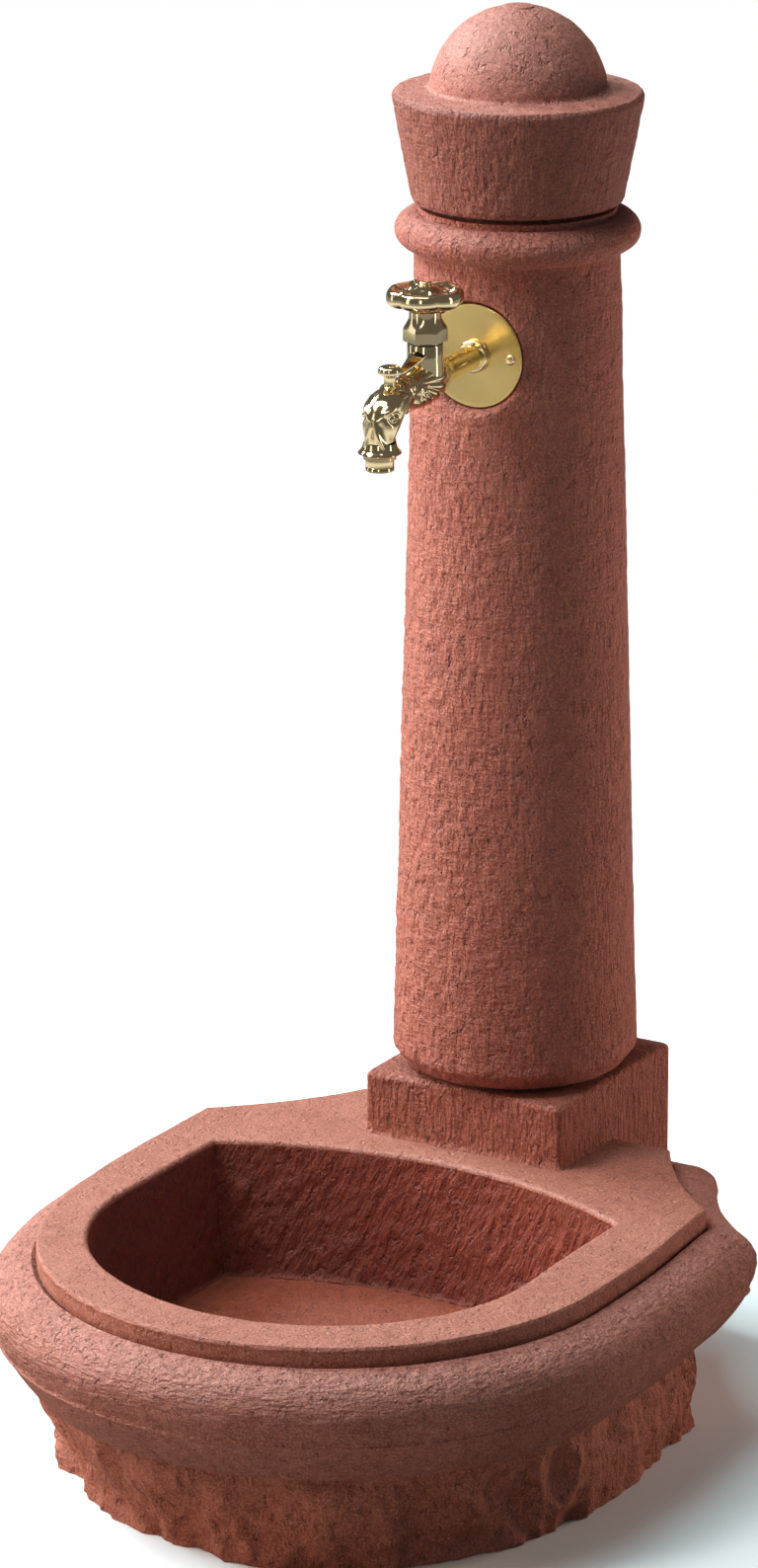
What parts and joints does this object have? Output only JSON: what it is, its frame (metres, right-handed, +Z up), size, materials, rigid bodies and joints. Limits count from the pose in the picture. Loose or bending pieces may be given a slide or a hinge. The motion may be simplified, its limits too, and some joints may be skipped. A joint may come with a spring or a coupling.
{
  "type": "garden water fountain",
  "caption": "Cast stone garden fountain: bowl with roll-moulded rim, tapered column with domed cap and a brass tap with animal-head spout, handwheel and rosette.",
  "frame": {"origin": "on the ground, on the axis of the column, in the middle of the plinth's underside", "axes": "+Z up; -Y from the column towards the round front of the basin; +X to the right as seen from the front"},
  "size_m": [0.572, 0.711, 1.112],
  "materials": {
    "stone": "rough cast red sandstone",
    "mortar": "dark mortar",
    "polished_brass": "polished",
    "plain_brass": "plain turned",
    "rubber": "matt",
    "steel": "brushed stainless steel",
    "plug_plastic": "matt"
  },
  "bodies": {
    "fountain": {"basin": "stone", "column": "stone", "cap": "stone", "column_joint": "mortar", "cap_joint": "mortar", "rosette": "polished_brass", "rosette_screws": "polished_brass", "pipe_collar": "polished_brass", "tap_body": "polished_brass", "outlet_nozzle": "polished_brass", "bonnet": "polished_brass", "gland_nut": "plain_brass", "inlet_elbow": "plain_brass", "inlet_nipple": "plain_brass", "tap_elbow": "plain_brass", "riser_pipe": "plain_brass", "inlet_grommet": "rubber", "thread_seal": "rubber", "bonnet_gasket": "rubber", "packing_ring": "rubber", "drain_gasket_upper": "rubber", "drain_gasket_lower": "rubber", "column_dowels": "steel", "cap_dowel": "steel", "drain_body": "steel", "drain_strainer": "steel", "strainer_screw": "steel", "drain_nut": "steel", "rosette_plugs": "plug_plastic"},
    "valve": {"valve_jumper": "plain_brass", "valve_washer": "rubber", "washer_nut": "plain_brass"},
    "wheel": {"spindle": "plain_brass", "handwheel": "polished_brass", "wheel_screw": "polished_brass"}
  },
  "joints": [
    {"name": "spindle_rise", "type": "slide", "parent": "fountain", "child": "valve", "axis": [0, 0, 1], "range_m": [0, 0.005]},
    {"name": "wheel_turn", "type": "hinge", "parent": "valve", "child": "wheel", "pos_m": [0.0098, -0.1602, 0.912], "axis": [0, 0, 1], "range_deg": [0, 900]}
  ],
  "couplings": [
    {"joint": "spindle_rise", "follows": "wheel_turn", "m_per_rad": 0.0003183}
  ]
}
